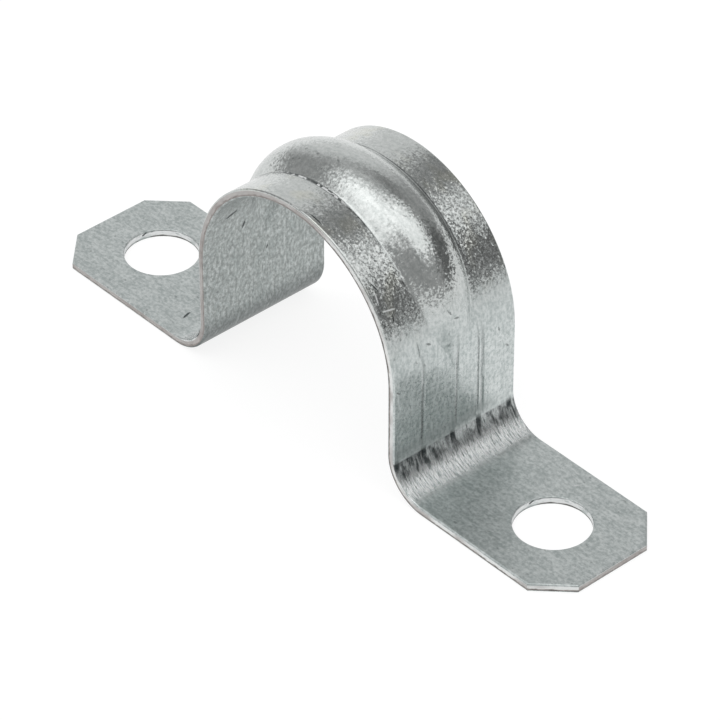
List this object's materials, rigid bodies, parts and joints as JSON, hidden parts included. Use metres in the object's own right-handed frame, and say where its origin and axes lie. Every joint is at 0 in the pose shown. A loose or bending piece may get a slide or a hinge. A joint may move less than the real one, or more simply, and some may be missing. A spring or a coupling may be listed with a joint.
{
  "type": "conduit strap",
  "caption": "Galvanised sheet-steel conduit strap: a half-round saddle with a pressed stiffening bead between flat drilled feet with cut corners.",
  "frame": {"origin": "on the wall, midway between the outer ends of the feet and midway across the strip", "axes": "+X along the strip towards the foot nearer the saddle, +Y across the strip along the conduit, +Z away from the wall"},
  "size_m": [0.061, 0.013, 0.0235],
  "materials": {
    "galvanised_steel": "continuously galvanised sheet, fine spangle, semi-matt"
  },
  "bodies": {
    "root": {"strap": "galvanised_steel"}
  },
  "joints": []
}
